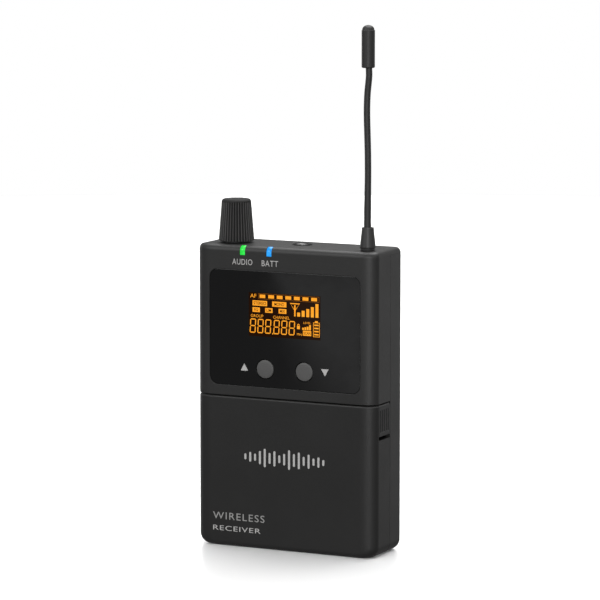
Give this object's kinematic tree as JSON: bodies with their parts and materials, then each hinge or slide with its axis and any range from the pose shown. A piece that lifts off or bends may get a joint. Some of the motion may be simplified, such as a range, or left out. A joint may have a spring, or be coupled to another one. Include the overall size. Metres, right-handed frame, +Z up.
{
  "type": "wireless belt-pack receiver",
  "caption": "Belt-pack wireless receiver for in-ear monitors: lit display behind a gloss window, push buttons, volume knob, phones socket, whip aerial, hinged battery door and belt clip.",
  "frame": {"origin": "bottom centre of the whole object, belt clip included, on the surface that it stands on", "axes": "+Z up along the case and the aerial, -Y towards the side with the display, +X to the right of a person who looks at the display"},
  "size_m": [0.063, 0.0266, 0.1674],
  "materials": {
    "case_black": "fine moulded texture",
    "door_black": "fine moulded texture",
    "window_black": "gloss, smoke tinted",
    "amber_display": "lit amber segments on a dark ground",
    "plastic_black": "plain moulded",
    "backlight_white": "plain",
    "ribbon_orange": "polyimide film",
    "button_grey": "matte",
    "green_lens": "clear, lit green",
    "blue_lens": "clear, lit blue",
    "board_green": "solder resist",
    "steel": "nickel plated",
    "knob_black": "matte, fluted",
    "chrome": "polished",
    "rubber_black": "satin",
    "cell_grey": "plain sleeve",
    "black_steel": "black, satin"
  },
  "bodies": {
    "housing": {"antenna_boot": "rubber_black", "antenna_contact": "steel", "audio_chip": "plastic_black", "audio_led": "green_lens", "audio_light_pipe": "green_lens", "backlight_plate": "backlight_white", "battery_led": "blue_lens", "battery_light_pipe": "blue_lens", "battery_lower": "cell_grey", "battery_tray": "plastic_black", "battery_upper": "cell_grey", "bay_divider": "plastic_black", "case_screw_1": "steel", "case_screw_2": "steel", "case_screw_3": "steel", "case_screw_4": "steel", "clip_base": "black_steel", "clip_screw_left": "steel", "clip_screw_right": "steel", "crystal_can": "steel", "display_window": "window_black", "down_switch": "plastic_black", "front_shell": "case_black", "hinge_pin_left": "steel", "hinge_pin_right": "steel", "jack_sleeve": "chrome", "lcd_frame": "plastic_black", "lcd_glass": "amber_display", "lcd_ribbon": "ribbon_orange", "link_plate": "steel", "lower_spring": "steel", "main_board": "board_green", "negative_plate": "steel", "phones_jack": "plastic_black", "positive_plate": "steel", "pot_nut": "steel", "processor_chip": "plastic_black", "rear_shell": "case_black", "rf_shield": "steel", "up_switch": "plastic_black", "upper_spring": "steel", "volume_pot": "plastic_black"},
    "volume": {"volume_knob": "knob_black", "pot_shaft": "steel"},
    "up_key": {"up_button": "button_grey"},
    "down_key": {"down_button": "button_grey"},
    "door": {"battery_door": "door_black"},
    "latch_l": {"latch_left": "door_black"},
    "latch_r": {"latch_right": "door_black"},
    "antenna": {"antenna_whip": "rubber_black", "antenna_cap": "rubber_black"},
    "clip": {"clip_leaf": "black_steel"}
  },
  "joints": [
    {"name": "volume_turn", "type": "hinge", "parent": "housing", "child": "volume", "pos_m": [-0.0211, -0.0048, 0.104], "axis": [0, 0, 1], "range_deg": [-150, 150]},
    {"name": "up_press", "type": "slide", "parent": "housing", "child": "up_key", "axis": [0, 1, 0], "range_m": [0, 0.0005], "stiffness_N_per_m": 1500},
    {"name": "down_press", "type": "slide", "parent": "housing", "child": "down_key", "axis": [0, 1, 0], "range_m": [0, 0.0005], "stiffness_N_per_m": 1500},
    {"name": "door_open", "type": "hinge", "parent": "housing", "child": "door", "pos_m": [0, -0.0028, 0.0012], "axis": [1, 0, 0], "range_deg": [0, 90]},
    {"name": "latch_left_press", "type": "hinge", "parent": "door", "child": "latch_l", "pos_m": [-0.0304, -0.0098, 0.0436], "axis": [0, 0, -1], "range_deg": [0, 6], "stiffness_Nm_per_rad": 0.15},
    {"name": "latch_right_press", "type": "hinge", "parent": "door", "child": "latch_r", "pos_m": [0.0304, -0.0098, 0.0436], "axis": [0, 0, 1], "range_deg": [0, 6], "stiffness_Nm_per_rad": 0.15},
    {"name": "antenna_flex", "type": "hinge", "parent": "housing", "child": "antenna", "pos_m": [0.0264, -0.0077, 0.1046], "axis": [0, 1, 0], "range_deg": [-20, 20], "stiffness_Nm_per_rad": 0.08},
    {"name": "clip_flex", "type": "hinge", "parent": "housing", "child": "clip", "pos_m": [0, 0.01055, 0.086], "axis": [1, 0, 0], "range_deg": [0, 6], "stiffness_Nm_per_rad": 4}
  ]
}
